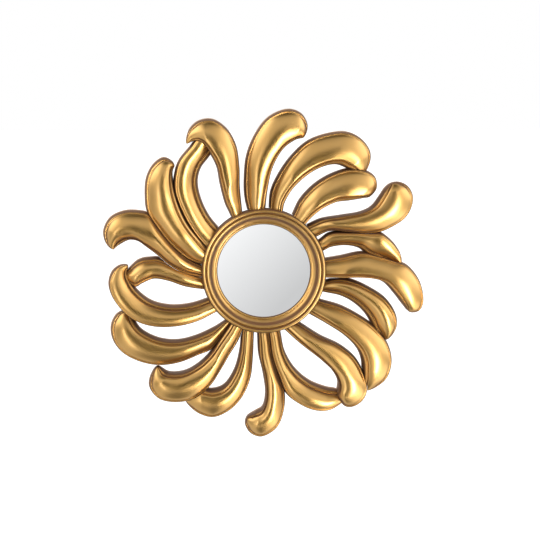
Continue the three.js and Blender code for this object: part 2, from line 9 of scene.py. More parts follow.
import bmesh
import bpy
import numpy as np
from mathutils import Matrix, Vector


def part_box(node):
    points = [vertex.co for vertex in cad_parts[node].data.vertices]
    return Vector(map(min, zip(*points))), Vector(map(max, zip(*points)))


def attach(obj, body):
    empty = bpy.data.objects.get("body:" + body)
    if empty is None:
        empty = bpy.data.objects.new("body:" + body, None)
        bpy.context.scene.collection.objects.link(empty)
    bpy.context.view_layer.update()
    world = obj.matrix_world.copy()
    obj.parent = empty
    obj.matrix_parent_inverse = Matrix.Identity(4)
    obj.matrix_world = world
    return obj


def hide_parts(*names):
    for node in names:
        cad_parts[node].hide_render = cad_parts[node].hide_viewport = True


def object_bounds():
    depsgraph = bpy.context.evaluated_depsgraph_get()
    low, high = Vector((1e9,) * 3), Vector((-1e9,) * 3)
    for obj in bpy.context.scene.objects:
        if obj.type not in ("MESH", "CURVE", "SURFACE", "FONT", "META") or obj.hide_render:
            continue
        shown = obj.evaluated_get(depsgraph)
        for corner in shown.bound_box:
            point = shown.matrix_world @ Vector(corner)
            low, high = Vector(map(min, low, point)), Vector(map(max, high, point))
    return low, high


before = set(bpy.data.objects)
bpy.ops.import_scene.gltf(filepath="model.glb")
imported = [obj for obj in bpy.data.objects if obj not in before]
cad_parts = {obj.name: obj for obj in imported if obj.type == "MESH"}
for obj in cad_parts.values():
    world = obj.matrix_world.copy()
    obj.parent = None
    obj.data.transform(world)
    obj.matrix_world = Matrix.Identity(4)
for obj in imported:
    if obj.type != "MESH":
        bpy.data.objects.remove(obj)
cad_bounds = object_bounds()

FRAME_BODY = "frame"
RING_BODY = "hanger_ring"

# ---------- Sizes, in metres ----------

MM = 0.001
CLEARANCE = 0.3 * MM              # between pieces that rest on each other
LAP_GAP = 0.35 * MM               # between two plumes that lap
PAST_BACK = -1 * MM               # where cutters start, behind the back
EASED_EDGE = 0.4 * MM             # of the glass, the board and the carrier

glass_low, glass_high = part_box("mirror_glass")
bezel_low, bezel_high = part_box("bezel_ring")
carrier_low, carrier_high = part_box("carrier_ring")
board_low, board_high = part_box("backing_board")
gasket_low, gasket_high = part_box("gasket_ring")

# Depth is the distance in front of the backing board's rear face, at y = 0.
GLASS_RADIUS = glass_high.x
GLASS_TOP = -glass_low.y
GLASS_THICKNESS = 2.5 * MM
DOME_RADIUS = 200 * MM
LIP_OVERLAP = 2.7 * MM            # of the bezel over the glass
LIP_THICKNESS = 2 * MM
SIGHT_RADIUS = GLASS_RADIUS - LIP_OVERLAP

BEZEL_FLARE = 1 * MM
BEZEL_RADIUS = bezel_high.x - BEZEL_FLARE
BEZEL_TOP = -bezel_low.y
BEZEL_BACK = -bezel_high.y
BEAD_GROOVE = 0.8 * MM
OUTER_BEAD = 3.4 * MM
MIDDLE_BEAD = 2.8 * MM
INNER_BEAD = 2.4 * MM
BEZEL_SHOULDER = BEZEL_TOP - 3 * BEAD_GROOVE
RABBET_WALL = 1.7 * MM
RABBET_RADIUS = GLASS_RADIUS + CLEARANCE
ROOT_INNER_RADIUS = RABBET_RADIUS + RABBET_WALL + CLEARANCE

CARRIER_RADIUS = carrier_high.x
CARRIER_BACK = -carrier_high.y
CARRIER_FRONT = -carrier_low.y
CARRIER_BORE = GLASS_RADIUS - 7 * MM
GASKET_WIDTH = 5.5 * MM
BOARD_RADIUS = board_high.x
BOARD_THICKNESS = -board_low.y
ROOT_TONGUE = 5 * MM
TONGUE_BACK = CARRIER_FRONT + CLEARANCE
TONGUE_FRONT = TONGUE_BACK + ROOT_TONGUE
BEZEL_SEAT = TONGUE_FRONT + CLEARANCE

# Plume section
PLUME_DEPTH = 17 * MM             # height of the edges above the back, at mid length
ROOT_DROP = 3 * MM                # the edges are this much lower at the bezel
TIP_DROP = 4 * MM                 # and this much lower at the tip
LAYER_STEP = 1.5 * MM             # a plume that laps over its neighbour is this much prouder
PILLOW_RISE = 7 * MM              # most height of the crest above the edges
PILLOW_SLOPE = 0.24               # that height as a share of a narrow plume's width
WALL_DRAFT = 2.5 * MM             # how far a side wall leans in on its way to the front
RIM_WIDTH = 1.1 * MM              # of the fine line along the outer edge
BEAD_WIDTH = 2.4 * MM             # of the raised bead along the inner edge
BEAD_HEIGHT = 0.5 * MM
GROOVE_DEPTH = 1.1 * MM
EDGE_ROUND = 1.2 * MM
FULL_DETAIL_WIDTH = 20 * MM       # a narrower plume has its detail smaller in proportion
BACK_BEVEL = 0.5 * MM             # of the sharp edge where a plume's wall meets its back
OUTLINE_SCALE = 0.9972 * MM       # smooth outlines bulge past the CAD's straight facets
EDGE_STEPS = 24                   # points on each span of a plume's edge
STATIONS = 110                    # sections along a plume
LAST_STATION = 0.998              # the last one's share of the way to the tip
CROWDING = 1.6                    # above 1, sections lie closer together near the tip
SPAN_STEPS = 5                    # points on each span across a moulded front
ROUND_SEGMENTS = 256              # round the bezel and the glass
MERGE_DISTANCE = 1e-6
SHARP_ANGLE = math.radians(35)

# Twenty plumes, clockwise from the top as seen from the front, as (x, z) points
# in millimetres. Each edge runs from the bezel outwards and ends at the tip. The
# outer edge is the convex one. The higher layer of two neighbours laps over the
# lower, which is cut to it, so a low plume's tip may lie under its neighbour.
# The crest lies at a share of the way from the outer edge to the inner.
PLUMES = [
    dict(outer=[(-16, 58.5), (-19.5, 75), (-20, 92), (-17.5, 116.5), (-8.5, 138.5),
                (5.5, 155.5), (25.5, 163), (39, 158), (45, 145.5)],
         inner=[(2, 59), (4.5, 81), (9.5, 103), (20.5, 122.5), (33, 131.5)],
         tip=(40, 134), layer=2, crest=0.62),
    dict(outer=[(5, 59.5), (6.5, 79), (11.5, 92), (25, 113), (43.5, 130.5), (64, 138.5),
                (84.5, 140), (99.5, 132.5), (108.5, 119.5), (107.5, 106.5)],
         inner=[(20, 59.5), (21.5, 67), (29, 80.5), (42.5, 94), (58.5, 103.5),
                (73.5, 106.5), (84.5, 102.5)],
         tip=(98.5, 96), layer=1, crest=0.76),
    dict(outer=[(28.5, 56.5), (36.5, 72.5), (51.5, 88), (69.5, 98.5), (87.5, 103.5),
                (104, 101), (113.5, 94), (115, 84)],
         inner=[(43.5, 46.5), (48, 52), (58.5, 61), (73, 68), (87.5, 70), (97.5, 72)],
         tip=(106.5, 74.5), layer=3, crest=0.76),
    dict(outer=[(53.5, 33), (67.5, 39), (86.5, 38), (107.5, 36.5), (120, 38.5),
                (131, 43.5), (144, 52.5), (151, 64.5), (152, 75), (147, 84.5), (138.5, 89)],
         inner=[(44, 46.5), (57.5, 52.5), (78, 56), (98, 59.5), (109, 65), (117.5, 76),
                (123, 84)],
         tip=(130, 88.5), layer=2, crest=0.66),
    dict(outer=[(56, 31), (67, 38.5), (87.5, 39.5), (107.5, 39), (118.5, 38.5),
                (125, 34.5), (134, 25.5), (140, 14)],
         inner=[(62, 19.5), (68, 22.5), (83, 24.5), (96, 22), (105.5, 15), (118, 10),
                (129, 6)],
         tip=(138, 3), layer=1, crest=0.30),
    dict(outer=[(63, 12.5), (78, 15), (100, 19), (119, 15), (134, 10), (146, 5),
                (157.5, -8.5), (162.5, -22.5), (163, -33.5), (159.5, -41), (153.5, -43)],
         inner=[(64, -8.5), (78.5, -8.5), (96, -8), (110, -9), (121, -12.5),
                (132.5, -24.5), (141, -35.5)],
         tip=(147, -42), layer=3, crest=0.80),
    dict(outer=[(64, -9.5), (77.5, -7), (90.5, -9.5), (108, -17.5), (124, -28.5),
                (134, -43), (136.5, -54.5), (133, -63.5)],
         inner=[(61.5, -23), (79, -27), (92.5, -34.5), (102, -43.5), (107, -51),
                (110.5, -59.5), (117, -68.5)],
         tip=(124.5, -70.5), layer=1, crest=0.44),
    dict(outer=[(59.5, -30), (78, -35.5), (98, -46), (112.5, -56.5), (124, -70),
                (130, -84), (131, -96.5), (126, -110.5), (116, -119)],
         inner=[(48, -46), (64.5, -55.5), (82, -67), (94.5, -80), (99, -91), (100, -103),
                (100.5, -115.5)],
         tip=(104, -122), layer=2, crest=0.80),
    dict(outer=[(39.5, -54.5), (57.5, -66), (78, -76), (93, -88.5), (102, -104.5),
                (106, -122), (101.5, -133), (91, -140), (82.5, -139.5)],
         inner=[(23.5, -63), (37.5, -75.5), (56, -89.5), (68.5, -101), (75, -112.5)],
         tip=(74.5, -126.5), layer=3, crest=0.62),
    dict(outer=[(5, -67), (8, -88.5), (15.5, -110.5), (22.5, -126), (33.5, -135.5),
                (48.5, -142.5), (62, -144), (72.5, -140.5)],
         inner=[(18, -65), (21.5, -81.5), (31.5, -99), (46.5, -112), (63.5, -119),
                (74.5, -121.5)],
         tip=(82.5, -129.5), layer=2, crest=0.40),
    dict(outer=[(7, -67), (10.5, -88), (17, -110.5), (22, -125.5), (21, -144),
                (14.5, -160), (2.5, -169), (-5.5, -170.5), (-14, -166.5), (-19, -157)],
         inner=[(-6.5, -66), (-5.5, -84.5), (-1, -104.5), (1.5, -125), (-1.5, -138.5),
                (-8.5, -143)],
         tip=(-17, -149), layer=1, crest=0.62),
    dict(outer=[(-9.5, -66), (-10.5, -89.5), (-13, -110.5), (-21, -129), (-34.5, -143),
                (-51.5, -150), (-66.5, -146), (-75.5, -138.5)],
         inner=[(-23, -64), (-24.5, -80), (-30, -100.5), (-40.5, -116), (-52, -120),
                (-65.5, -118.5)],
         tip=(-79.5, -129.5), layer=2, crest=0.70),
    dict(outer=[(-22, -64), (-25, -71.5), (-34.5, -87), (-44.5, -103.5), (-54.5, -118),
                (-72, -131), (-92, -134), (-108.5, -129.5), (-116.5, -117.5),
                (-114, -104.5)],
         inner=[(-37, -56.5), (-44, -67), (-53.5, -81.5), (-65, -93), (-80, -101.5),
                (-96, -102.5)],
         tip=(-107.5, -97), layer=3, crest=0.60),
    dict(outer=[(-36, -57), (-45, -71), (-53.5, -81.5), (-66, -86.5), (-86, -94),
                (-106.5, -96.5), (-126.5, -92.5), (-144, -83), (-153.5, -69),
                (-154.5, -54), (-148, -43)],
         inner=[(-41.5, -52), (-49.5, -57), (-68, -65.5), (-87, -70), (-106, -68),
                (-123.5, -59), (-130.5, -49.5)],
         tip=(-137, -40), layer=1, crest=0.66),
    dict(outer=[(-49.5, -43.5), (-65.5, -51.5), (-86, -56.5), (-109, -57), (-127.5, -52),
                (-142.5, -41.5), (-153.5, -26.5), (-157, -12.5), (-153, 0), (-144.5, 6)],
         inner=[(-56, -27.5), (-74, -33), (-94, -34.5), (-113, -30), (-127, -19.5),
                (-133, -11), (-137, -2)],
         tip=(-137, 5.5), layer=3, crest=0.35),
    dict(outer=[(-61, -5), (-74.5, 0), (-89.5, 7), (-106, 14), (-114.5, 14),
                (-122.5, 13), (-130, 9)],
         inner=[(-59.5, -20), (-79, -17), (-97, -11), (-111, -9), (-122.5, -13.5),
                (-129.5, -17)],
         tip=(-140.5, -6), layer=1, crest=0.62),
    dict(outer=[(-60, 5), (-75.5, 13), (-92.5, 28.5), (-107, 46.5), (-117, 59),
                (-124.5, 61), (-140, 61), (-155, 54), (-162, 40), (-159, 27)],
         inner=[(-60.5, -7.5), (-74, -5.5), (-92, 2.5), (-106, 14), (-116.5, 22.5),
                (-126, 29.5), (-135.5, 30.5), (-146.5, 25)],
         tip=(-151.5, 22), layer=2, crest=0.52),
    dict(outer=[(-59.5, 4), (-77, 10.5), (-96, 27), (-109, 44), (-118, 59.5),
                (-120, 75.5), (-118.5, 94), (-111.5, 107.5), (-101, 114.5),
                (-92.5, 111)],
         inner=[(-55.5, 23), (-61.5, 30), (-76.5, 49.5), (-86.5, 72), (-90.5, 89),
                (-91.3, 100)],
         tip=(-89.5, 106), layer=3, crest=0.63),
    dict(outer=[(-58, 21.5), (-71, 37), (-84.5, 61), (-91, 81), (-90.5, 96),
                (-86, 111), (-74.5, 125.5), (-64, 137)],
         inner=[(-44, 42.5), (-54.5, 55.5), (-63, 73.5), (-66, 90), (-63, 103),
                (-53.5, 116)],
         tip=(-46, 131), layer=1, crest=0.28),
    dict(outer=[(-21, 57.5), (-23.5, 84.5), (-24, 105.5), (-27.5, 127), (-37, 143.5),
                (-51.5, 153), (-66, 151), (-75.5, 141.5)],
         inner=[(-32.5, 53), (-35, 58.5), (-39, 67), (-44.5, 88), (-47.5, 104),
                (-53.5, 116.5), (-60.5, 127), (-69.5, 130)],
         tip=(-77.5, 128), layer=3, crest=0.73),
]

# ---------- Node helpers ----------


# Sockets of a Mix node that mixes colours
FACTOR, FIRST, SECOND, MIXED = 0, 6, 7, 2


def linear(hex_colour):
    """An sRGB hex colour as linear RGBA."""
    channels = [int(hex_colour[i:i + 2], 16) / 255 for i in (1, 3, 5)]
    return [c / 12.92 if c <= 0.04045 else ((c + 0.055) / 1.055) ** 2.4 for c in channels] + [1]


def add_node(tree, kind, inputs=None, **settings):
    """A node with its settings; each input is a value or another node's output."""
    node = tree.nodes.new(kind)
    for name, value in settings.items():
        setattr(node, name, value)
    for key, value in (inputs or {}).items():
        if isinstance(value, bpy.types.NodeSocket):
            tree.links.new(value, node.inputs[key])
        else:
            node.inputs[key].default_value = value
    return node


# ---------- Materials ----------


def new_material(name):
    """A material, its empty tree, and the place on a piece that its patterns read."""
    material = bpy.data.materials.new(name)
    material.use_nodes = True
    material.node_tree.nodes.clear()
    position = add_node(material.node_tree, "ShaderNodeTexCoord").outputs["Object"]
    return material, material.node_tree, position


def add_shader(tree, **inputs):
    """Ends a material's tree with one Principled shader."""
    shader = add_node(tree, "ShaderNodeBsdfPrincipled",
                      {key.replace("_", " "): value for key, value in inputs.items()})
    add_node(tree, "ShaderNodeOutputMaterial", {"Surface": shader.outputs[0]})


def grained(tree, grain, first, second, strength, height):
    """The colour and the relief that a grain gives to a surface."""
    colour = add_node(tree, "ShaderNodeMix", {FACTOR: grain, FIRST: first, SECOND: second},
                      data_type="RGBA").outputs[MIXED]
    relief = add_node(tree, "ShaderNodeBump",
                      {"Height": grain, "Strength": strength, "Distance": height}).outputs[0]
    return colour, relief


def gilt_resin():
    """Cast resin with gold leaf under a clear lacquer: satin metal on the
    fronts, with faint clouds where the leaf is thinner. The steep side walls are
    matt brown, partly a brown finish and partly painted shade on the walls and in
    the grooves, darker near the front and paler towards the back. The lacquer's
    orange peel is drawn coarser than it is, so that it shows."""
    material, tree, position = new_material("satin_gilt_resin")
    clouds = add_node(tree, "ShaderNodeTexNoise",
                      {"Vector": position, "Scale": 1 / (22 * MM), "Detail": 3.0}).outputs[0]
    normal = add_node(tree, "ShaderNodeNewGeometry").outputs["Normal"]
    facing = add_node(tree, "ShaderNodeSeparateXYZ", {0: normal}).outputs["Y"]
    # Steep faces, the side walls and the sides of the bezel's grooves, are matt brown: partly a
    # brown finish, partly painted shade.
    wall = add_node(tree, "ShaderNodeMapRange",
                    {"Value": facing, "From Min": -0.74, "From Max": -0.5},
                    interpolation_type="SMOOTHSTEP").outputs[0]
    depth = add_node(tree, "ShaderNodeSeparateXYZ", {0: position}).outputs["Y"]
    near_back = add_node(tree, "ShaderNodeMapRange",
                         {"Value": depth, "From Min": -9 * MM, "From Max": -1 * MM},
                         interpolation_type="SMOOTHSTEP").outputs[0]
    leaf = add_node(tree, "ShaderNodeMix",
                    {FACTOR: clouds, FIRST: linear("#E5AF58"), SECOND: linear("#EDBD70")},
                    data_type="RGBA").outputs[MIXED]
    bare = add_node(tree, "ShaderNodeMix",
                    {FACTOR: clouds, FIRST: linear("#BC9068"), SECOND: linear("#E8C8A6")},
                    data_type="RGBA").outputs[MIXED]
    # Dark brown near the front is partly painted shade on the walls and in the grooves; it
    # pales to bare resin towards the back.
    brown_wall_and_painted_shade = add_node(tree, "ShaderNodeMix",
                      {FACTOR: near_back, FIRST: linear("#75502F"), SECOND: bare},
                      data_type="RGBA").outputs[MIXED]
    gilt = add_node(tree, "ShaderNodeMix", {FACTOR: wall, FIRST: leaf, SECOND: brown_wall_and_painted_shade},
                    data_type="RGBA").outputs[MIXED]
    metal, lacquer = (
        add_node(tree, "ShaderNodeMapRange",
                 {"Value": wall, "To Min": 1.0, "To Max": on_wall}).outputs[0]
        for on_wall in (0.1, 0.0))
    satin = add_node(tree, "ShaderNodeMapRange",
                     {"Value": clouds, "To Min": 0.28, "To Max": 0.33}).outputs[0]
    dulled = add_node(tree, "ShaderNodeMath", {0: wall, 1: 0.35, 2: satin},
                      operation="MULTIPLY_ADD").outputs[0]
    peel = add_node(tree, "ShaderNodeTexNoise",
                    {"Vector": position, "Scale": 1 / (1.6 * MM), "Detail": 2.0}).outputs[0]
    relief = add_node(tree, "ShaderNodeBump",
                      {"Height": peel, "Strength": 0.12, "Distance": 0.02 * MM}).outputs[0]
    add_shader(tree, Base_Color=gilt, Metallic=metal, Roughness=dulled, Coat_Weight=lacquer,
               Coat_Roughness=0.2, Normal=relief)
    return material


def silvered_glass():
    """Blown domed glass, silvered on the back: a clean, faintly grey reflection."""
    material, tree, _ = new_material("silvered_domed_glass")
    add_shader(tree, Base_Color=linear("#F4F5F6"), Metallic=1.0, Roughness=0.0)
    return material


def closed_cell_foam():
    """Die-cut black foam strip: matt, with fine pores."""
    material, tree, position = new_material("closed_cell_foam")
    pores = add_node(tree, "ShaderNodeTexVoronoi",
                     {"Vector": position, "Scale": 1 / (0.6 * MM)}).outputs["Distance"]
    relief = add_node(tree, "ShaderNodeBump",
                      {"Height": pores, "Strength": 0.4, "Distance": 0.1 * MM}).outputs[0]
    add_shader(tree, Base_Color=linear("#3A3A3C"), Roughness=0.95, Normal=relief)
    return material


def painted_plywood():
    """Birch plywood ring, brushed with a brown priming coat: fine grain shows through."""
    material, tree, position = new_material("primed_plywood")
    stretched = add_node(tree, "ShaderNodeMapping",
                         {"Vector": position, "Scale": (1, 1, 0.12)}).outputs[0]
    grain = add_node(tree, "ShaderNodeTexNoise",
                     {"Vector": stretched, "Scale": 1 / (1.2 * MM), "Detail": 4.0}).outputs[0]
    colour, relief = grained(tree, grain, linear("#4A3420"), linear("#6A4C30"), 0.3, 0.1 * MM)
    add_shader(tree, Base_Color=colour, Roughness=0.7, Normal=relief)
    return material


def hardboard():
    """Pressed brown hardboard, smooth side out: mottled fibres under a waxy skin,
    drawn coarser than they are, so that they show."""
    material, tree, position = new_material("smooth_hardboard")
    fibres = add_node(tree, "ShaderNodeTexNoise",
                      {"Vector": position, "Scale": 1 / (0.9 * MM), "Detail": 6.0,
                       "Distortion": 1.5}).outputs[0]
    patches = add_node(tree, "ShaderNodeTexNoise",
                       {"Vector": position, "Scale": 1 / (18 * MM), "Detail": 3.0}).outputs[0]
    fleck, relief = grained(tree, fibres, linear("#5C3E26"), linear("#8A6240"), 0.25, 0.1 * MM)
    colour = add_node(tree, "ShaderNodeMix",
                      {FACTOR: patches, FIRST: fleck, SECOND: linear("#704C30")},
                      data_type="RGBA").outputs[MIXED]
    add_shader(tree, Base_Color=colour, Roughness=0.55, Normal=relief)
    return material


def zinc_plated_steel():
    """Bright zinc plating: pale grey metal with a faint spangle."""
    material, tree, position = new_material("zinc_plated_steel")
    spangle = add_node(tree, "ShaderNodeTexVoronoi",
                       {"Vector": position, "Scale": 1 / (0.8 * MM)}).outputs["Distance"]
    colour = add_node(tree, "ShaderNodeMix",
                      {FACTOR: spangle, FIRST: linear("#C9CCD0"), SECOND: linear("#A9ADB2")},
                      data_type="RGBA").outputs[MIXED]
    sheen = add_node(tree, "ShaderNodeMapRange",
                     {"Value": spangle, "To Min": 0.28, "To Max": 0.4}).outputs[0]
    add_shader(tree, Base_Color=colour, Metallic=1.0, Roughness=sheen)
    return material


def moulded_rubber():
    """Soft black rubber, moulded in a spark-eroded tool: matt with a fine grain."""
    material, tree, position = new_material("moulded_rubber")
    grain = add_node(tree, "ShaderNodeTexNoise",
                     {"Vector": position, "Scale": 1 / (0.4 * MM), "Detail": 2.0}).outputs[0]
    colour, relief = grained(tree, grain, linear("#242425"), linear("#343436"), 0.3, 0.05 * MM)
    add_shader(tree, Base_Color=colour, Roughness=0.8, Normal=relief)
    return material


GILT = gilt_resin()
SILVERED = silvered_glass()
FOAM = closed_cell_foam()
PLYWOOD = painted_plywood()
HARDBOARD = hardboard()
ZINC = zinc_plated_steel()
RUBBER = moulded_rubber()

# ---------- Meshes ----------


def mesh_object(name, vertices, faces=(), edges=()):
    mesh = bpy.data.meshes.new(name)
    mesh.from_pydata([tuple(v) for v in vertices], edges, faces)
    made = bpy.data.objects.new(name, mesh)
    bpy.context.scene.collection.objects.link(made)
    return made


def outward(made):
    """Merges doubled points, drops loose edges and turns every face outwards."""
    shape = bmesh.new()
    shape.from_mesh(made.data)
    bmesh.ops.remove_doubles(shape, verts=shape.verts, dist=MERGE_DISTANCE)
    loose = [edge for edge in shape.edges if not edge.link_faces]
    bmesh.ops.delete(shape, geom=loose, context="EDGES")
    bmesh.ops.recalc_face_normals(shape, faces=shape.faces)
    shape.to_mesh(made.data)
    shape.free()
    return made


def settle(made):
    """Turns an object's evaluated result into its own plain mesh."""
    graph = bpy.context.evaluated_depsgraph_get()
    mesh = bpy.data.meshes.new_from_object(made.evaluated_get(graph))
    made.modifiers.clear()
    made.data = mesh
    return made


def cut(made, *cutters):
    """Takes the cutters' space out of a piece."""
    for cutter in cutters:
        made.modifiers.new("cut", "BOOLEAN").object = cutter
        made.modifiers[-1].solver = "MANIFOLD"
    return settle(made)


def soften_edges(made, width):
    bevel = made.modifiers.new("edges", "BEVEL")
    bevel.width = width
    bevel.segments = 3
    bevel.limit_method = "ANGLE"
    return settle(made)


def discard(*tools):
    for tool in tools:
        bpy.data.objects.remove(tool)


def dress(made, material, slot, *nodes, body=FRAME_BODY):
    """Finishes a piece: smooth shading, its material and body, and the nodes it
    stands for. Its record slot is not used."""
    made.data.shade_smooth()
    made.data.set_sharp_from_angle(angle=SHARP_ANGLE)
    made.data.materials.clear()
    made.data.materials.append(material)
    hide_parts(*nodes)
    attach(made, body)


def loft(name, rings):
    """A closed skin over rings of points, with both ends filled."""
    count = len(rings[0])
    faces = []
    for band in range(len(rings) - 1):
        here, there = band * count, (band + 1) * count
        for i in range(count):
            following = (i + 1) % count
            faces.append((here + i, here + following, there + following, there + i))
    faces.append(tuple(range(count))[::-1])
    faces.append(tuple(range((len(rings) - 1) * count, len(rings) * count)))
    return outward(mesh_object(name, np.vstack(rings), faces))


# ---------- Trees that make turned, fitted and bent pieces ----------


def new_tree(name, sockets):
    """A Geometry Nodes tree with named inputs, and its input and output nodes."""
    tree = bpy.data.node_groups.new(name, "GeometryNodeTree")
    for label, kind in {"Geometry": "NodeSocketGeometry", **sockets}.items():
        tree.interface.new_socket(label, in_out="INPUT", socket_type=kind)
    tree.interface.new_socket("Geometry", in_out="OUTPUT", socket_type="NodeSocketGeometry")
    return tree, add_node(tree, "NodeGroupInput").outputs, add_node(tree, "NodeGroupOutput")


def finish_tree(tree, given, result, shape):
    """Ends a tree: the shape as a plain mesh in its finish."""
    real = add_node(tree, "GeometryNodeRealizeInstances", {"Geometry": shape})
    coated = add_node(tree, "GeometryNodeSetMaterial",
                      {"Geometry": real.outputs[0], "Material": given["Finish"]})
    tree.links.new(coated.outputs[0], result.inputs[0])
    return tree


def turning_tree():
    """Turns an outline of (radius, -depth) points about the Y axis."""
    tree, given, result = new_tree("turned_piece", {
        "Segments": "NodeSocketInt", "Finish": "NodeSocketMaterial"})
    count = add_node(tree, "GeometryNodeAttributeDomainSize",
                     {"Geometry": given["Geometry"]}).outputs["Point Count"]
    around = add_node(tree, "ShaderNodeMath", {0: given["Segments"], 1: 1.0}, operation="ADD")
    grid = add_node(tree, "GeometryNodeMeshGrid", {
        "Size X": 1.0, "Size Y": 1.0, "Vertices X": count, "Vertices Y": around.outputs[0]})
    position = add_node(tree, "GeometryNodeInputPosition").outputs[0]
    place = add_node(tree, "ShaderNodeSeparateXYZ", {0: position}).outputs
    spans = add_node(tree, "ShaderNodeMath", {0: count, 1: 1.0}, operation="SUBTRACT")
    share = add_node(tree, "ShaderNodeMath", {0: place["X"], 1: 0.5}, operation="ADD")
    step = add_node(tree, "ShaderNodeMath",
                    {0: share.outputs[0], 1: spans.outputs[0]}, operation="MULTIPLY")
    index = add_node(tree, "FunctionNodeFloatToInt", {0: step.outputs[0]},
                     rounding_mode="ROUND")
    outline = add_node(tree, "GeometryNodeSampleIndex", {
        "Geometry": given["Geometry"], "Value": position, "Index": index.outputs[0]},
        data_type="FLOAT_VECTOR", domain="POINT")
    angle = add_node(tree, "ShaderNodeMath", {0: place["Y"], 1: 2 * math.pi},
                     operation="MULTIPLY")
    spun = add_node(tree, "ShaderNodeVectorRotate", {
        "Vector": outline.outputs[0], "Angle": angle.outputs[0]}, rotation_type="Y_AXIS")
    skin = add_node(tree, "GeometryNodeSetPosition", {
        "Geometry": grid.outputs["Mesh"], "Position": spun.outputs[0]})
    closed = add_node(tree, "GeometryNodeMergeByDistance", {
        "Geometry": skin.outputs[0], "Distance": MERGE_DISTANCE})
    return finish_tree(tree, given, result, closed.outputs[0])


def fitting_tree():
    """Puts a copy of a small piece at each point, each turned at random about Y."""
    tree, given, result = new_tree("fitted_pieces", {
        "Piece": "NodeSocketObject", "Seed": "NodeSocketInt", "Most Turn": "NodeSocketFloat",
        "Finish": "NodeSocketMaterial"})
    piece = add_node(tree, "GeometryNodeObjectInfo", {"Object": given["Piece"]})
    most = add_node(tree, "ShaderNodeCombineXYZ", {"Y": given["Most Turn"]})
    turn = add_node(tree, "FunctionNodeRandomValue", {
        "Max": most.outputs[0], "Seed": given["Seed"]}, data_type="FLOAT_VECTOR")
    copies = add_node(tree, "GeometryNodeInstanceOnPoints", {
        "Points": given["Geometry"], "Instance": piece.outputs["Geometry"],
        "Rotation": turn.outputs[0]})
    return finish_tree(tree, given, result, copies.outputs[0])


def bending_tree():
    """Sweeps a round wire along a closed path."""
    tree, given, result = new_tree("bent_wire", {
        "Wire Radius": "NodeSocketFloat", "Sides": "NodeSocketInt",
        "Finish": "NodeSocketMaterial"})
    path = add_node(tree, "GeometryNodeMeshToCurve", {"Mesh": given["Geometry"]})
    section = add_node(tree, "GeometryNodeCurvePrimitiveCircle", {
        "Resolution": given["Sides"], "Radius": given["Wire Radius"]})
    wire = add_node(tree, "GeometryNodeCurveToMesh", {
        "Curve": path.outputs[0], "Profile Curve": section.outputs[0]})
    return finish_tree(tree, given, result, wire.outputs[0])


TURNING = turning_tree()
FITTING = fitting_tree()
BENDING = bending_tree()


def shaped(made, tree, **sizes):
    """Runs a tree on an object and keeps the result as its plain mesh."""
    modifier = made.modifiers.new(tree.name, "NODES")
    modifier.node_group = tree
    for socket in tree.interface.items_tree:
        size = sizes.get(socket.name.replace(" ", "_"))
        if socket.in_out == "INPUT" and size is not None:
            modifier[socket.identifier] = size
    return outward(settle(made))


def turned(name, outline, finish=None, segments=192):
    """A piece turned about the Y axis from a closed outline of (radius, depth) points."""
    points = [(radius, -depth, 0) for radius, depth in [*outline, outline[0]]]
    return shaped(mesh_object(name, points), TURNING, Segments=segments, Finish=finish)


def fitted(name, places, piece, finish=None, most_turn=0.0, seed=0):
    """Copies of a small piece at (x, y, z) places, as one mesh."""
    made = shaped(mesh_object(name, places), FITTING, Piece=piece, Seed=seed,
                  Most_Turn=most_turn, Finish=finish)
    discard(piece)
    return made


# ---------- Plumes ----------


def smooth_curve(points, steps):
    """A centripetal Catmull-Rom curve through the points, as a dense polyline."""
    points = np.array(points, float)
    padded = [2 * points[0] - points[1], *points, 2 * points[-1] - points[-2]]
    share = np.linspace(0, 1, steps, endpoint=False)[:, None]
    dense = []
    for before, start, end, after in zip(padded, padded[1:], padded[2:], padded[3:]):
        gap_in, gap, gap_out = (math.sqrt(np.linalg.norm(b - a)) for a, b in
                                ((before, start), (start, end), (end, after)))
        leave = gap * ((start - before) / gap_in - (end - before) / (gap_in + gap)
                       + (end - start) / gap)
        arrive = gap * ((end - start) / gap - (after - start) / (gap + gap_out)
                        + (after - end) / gap_out)
        dense.append(start + leave * share
                     + (3 * (end - start) - 2 * leave - arrive) * share ** 2
                     + (2 * (start - end) + leave + arrive) * share ** 3)
    return np.vstack([*dense, points[-1:]])


def along_curve(curve, shares):
    """Points at these shares of a polyline's length."""
    lengths = np.concatenate([[0], np.cumsum(np.linalg.norm(np.diff(curve, axis=0), axis=1))])
    return np.column_stack([np.interp(np.array(shares) * lengths[-1], lengths, axis)
                            for axis in curve.T])


def root_point(edge):
    """Where an edge starts under the bezel, on along its own line."""
    inwards = edge[0] - edge[1]
    inwards /= np.linalg.norm(inwards)
    radius = np.linalg.norm(edge[0])
    steepness = max(-inwards @ edge[0] / radius, 0.5)
    reach = max((radius - ROOT_INNER_RADIUS + CLEARANCE) / steepness,
                (BEZEL_RADIUS - ROOT_INNER_RADIUS) / 2)
    return edge[0] + inwards * reach


def edge_curves(plume):
    """The outer and inner edge, parted at the tip of one curve round the plume."""
    outer, tip, inner = (np.array(plume[part]) * OUTLINE_SCALE
                         for part in ("outer", "tip", "inner"))
    around = smooth_curve([root_point(outer), *outer, tip, *inner[::-1], root_point(inner)],
                          EDGE_STEPS)
    turn = (len(outer) + 1) * EDGE_STEPS
    return around[:turn + 1], around[turn:][::-1]


def ease(value, start, end):
    """Goes smoothly from 0 at the start to 1 at the end."""
    share = min(max((value - start) / (end - start), 0), 1)
    return share * share * (3 - 2 * share)


